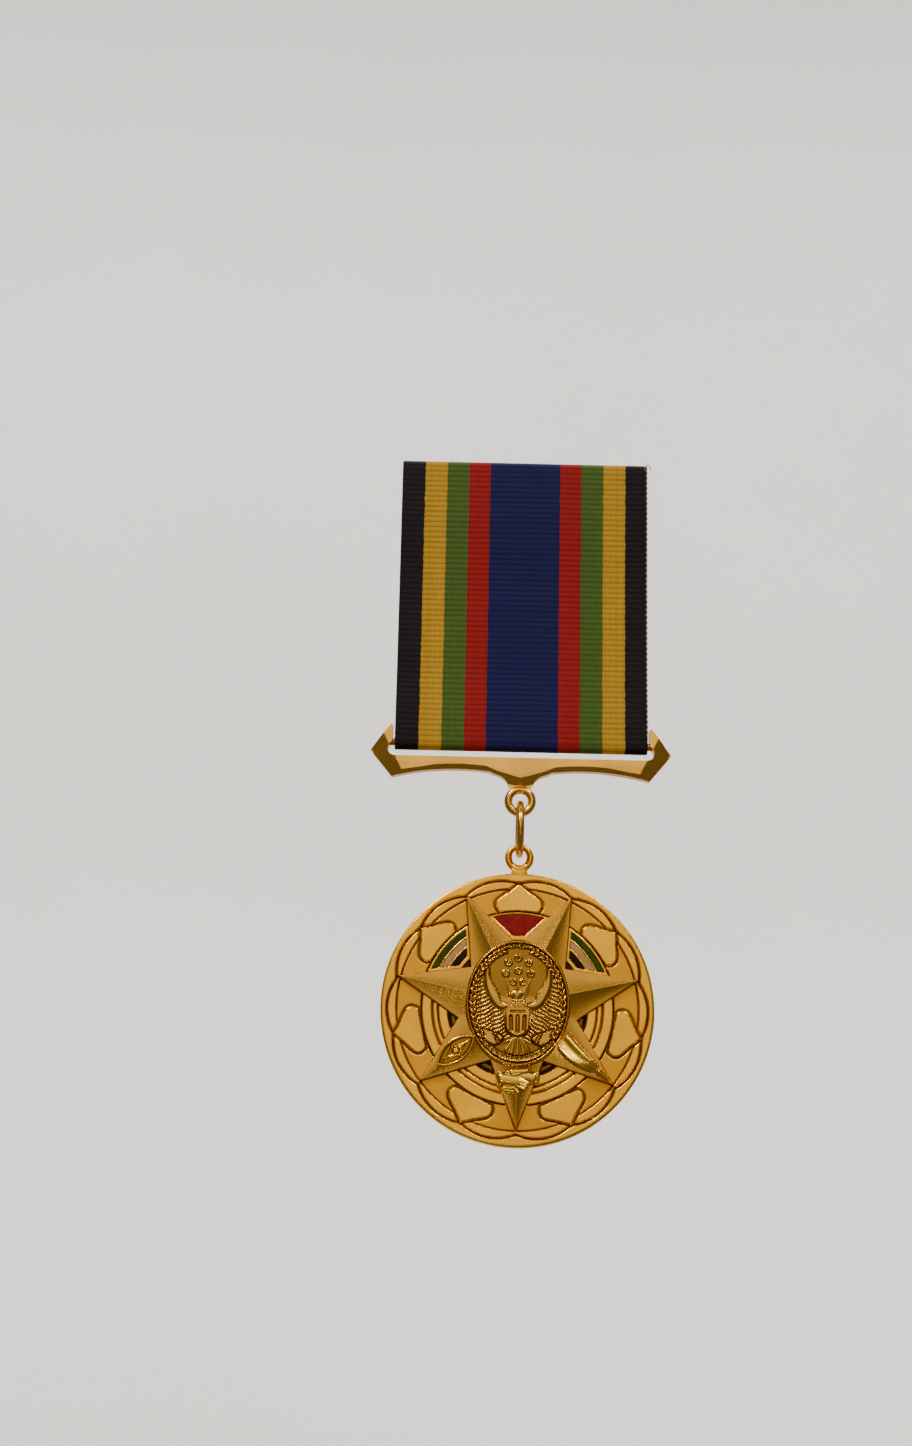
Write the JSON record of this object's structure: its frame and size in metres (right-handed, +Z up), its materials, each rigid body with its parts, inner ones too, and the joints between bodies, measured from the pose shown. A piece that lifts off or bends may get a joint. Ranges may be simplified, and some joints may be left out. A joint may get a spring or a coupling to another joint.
{
  "type": "military service medal",
  "caption": "Round gold-tone medal with a seven-pointed star and enamel arcs, hung by a ring and an arrow-ended bar from a striped ribbon on a pin brooch.",
  "frame": {"origin": "centre of the brooch plate in the ribbon's top fold", "axes": "+Z up as the medal hangs, -Y out of the medal's front, +X to the right as seen from the front"},
  "size_m": [0.0454, 0.0097, 0.1057],
  "materials": {
    "ribbon": "ribbed silk, in lengthwise stripes",
    "thread": "twisted sewing thread",
    "brooch_brass": "satin, lightly tarnished",
    "pin_steel": "drawn wire",
    "gold": "satin gold plating, dark in the recesses",
    "polished_gold": "polished gold plating",
    "red_enamel": "gloss enamel",
    "black_enamel": "gloss enamel",
    "white_enamel": "gloss enamel, grey-white",
    "green_enamel": "gloss enamel"
  },
  "bodies": {
    "brooch": {"ribbon_head": "ribbon", "seam_thread": "thread", "brooch_plate": "brooch_brass", "pin_plate": "brooch_brass", "brooch_rivet_left": "brooch_brass", "brooch_rivet_right": "brooch_brass", "pin_hinge_block": "brooch_brass", "pin_hinge_rivet": "brooch_brass", "pin_catch": "brooch_brass"},
    "pin": {"brooch_pin": "pin_steel"},
    "ribbon": {"ribbon_drape": "ribbon"},
    "bar": {"suspension_bar": "gold", "ribbon_rod": "gold"},
    "ring": {"jump_ring": "gold"},
    "medal": {"medal_disc": "gold", "medal_star": "gold", "centre_emblem": "gold", "clasped_hands": "polished_gold", "almond_medallion": "polished_gold", "curved_horn": "polished_gold", "enamel_red_top": "red_enamel", "enamel_black_left": "black_enamel", "enamel_black_right": "black_enamel", "enamel_white_left": "white_enamel", "enamel_white_right": "white_enamel", "enamel_green_left": "green_enamel", "enamel_green_right": "green_enamel"}
  },
  "joints": [
    {"name": "pin_hinge", "type": "hinge", "parent": "brooch", "child": "pin", "pos_m": [-0.013, 0.0042, 0], "axis": [0, 0, 1], "range_deg": [0, 85]},
    {"name": "ribbon_bend", "type": "hinge", "parent": "brooch", "child": "ribbon", "pos_m": [0, 0, -0.00725], "axis": [1, 0, 0], "range_deg": [-60, 30]},
    {"name": "bar_swing", "type": "hinge", "parent": "ribbon", "child": "bar", "pos_m": [0, 0, -0.04085], "axis": [1, 0, 0], "range_deg": [-75, 75]},
    {"name": "ring_swing", "type": "hinge", "parent": "bar", "child": "ring", "pos_m": [0, 0, -0.05153], "axis": [1, 0, 0], "range_deg": [-50, 50]},
    {"name": "disc_sway", "type": "hinge", "parent": "ring", "child": "medal", "pos_m": [0, 0, -0.0577], "axis": [0, 1, 0], "range_deg": [-60, 60]}
  ]
}
